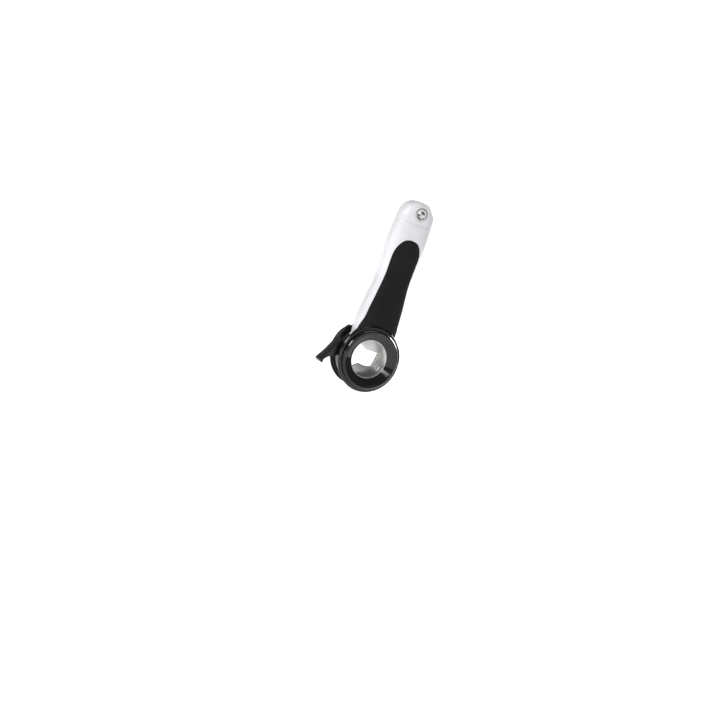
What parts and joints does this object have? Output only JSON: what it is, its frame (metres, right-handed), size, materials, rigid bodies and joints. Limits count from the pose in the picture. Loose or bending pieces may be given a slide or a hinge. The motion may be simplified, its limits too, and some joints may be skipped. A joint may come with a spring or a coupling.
{
  "type": "manual can opener",
  "caption": "Hand can opener with a round head, a hooked lever that lifts ring-pull tabs, a toothed steel crown-cap lifter in the bore, and a two-tone shell handle.",
  "frame": {"origin": "centre of the head's bore, half way through the head's depth", "axes": "+Z along the handle to its free end, -Y out of the bore's front mouth, the hooked lever is on the -X side"},
  "size_m": [0.0647, 0.025, 0.1567],
  "materials": {
    "white_plastic": "glossy",
    "satin_black": "satin",
    "gloss_black": "glossy",
    "lifter_steel": "satin",
    "lever_black": "satin",
    "pad_rubber": "matte",
    "eyelet_steel": "polished",
    "fastener_steel": "satin"
  },
  "bodies": {
    "handle": {"front_ring": "gloss_black", "flange_ring": "gloss_black", "head_drum": "gloss_black", "rear_ring": "gloss_black", "cap_lifter": "lifter_steel", "head_screws": "fastener_steel", "handle_spine": "fastener_steel", "spine_rivets": "fastener_steel", "front_shell": "white_plastic", "rear_shell": "white_plastic", "front_inlay": "satin_black", "rear_inlay": "satin_black", "shell_screws": "fastener_steel", "end_cap": "white_plastic", "hang_eyelet": "eyelet_steel", "lever_spring": "fastener_steel"},
    "lever": {"hook_lever": "lever_black", "thumb_pad": "pad_rubber", "lever_pin": "fastener_steel"}
  },
  "joints": [
    {"name": "lever_hinge", "type": "hinge", "parent": "handle", "child": "lever", "pos_m": [-0.0268, 0, -0.0015], "axis": [0, 1, 0], "range_deg": [0, 7.5], "stiffness_Nm_per_rad": 0.08, "springref_deg": -22.92}
  ]
}
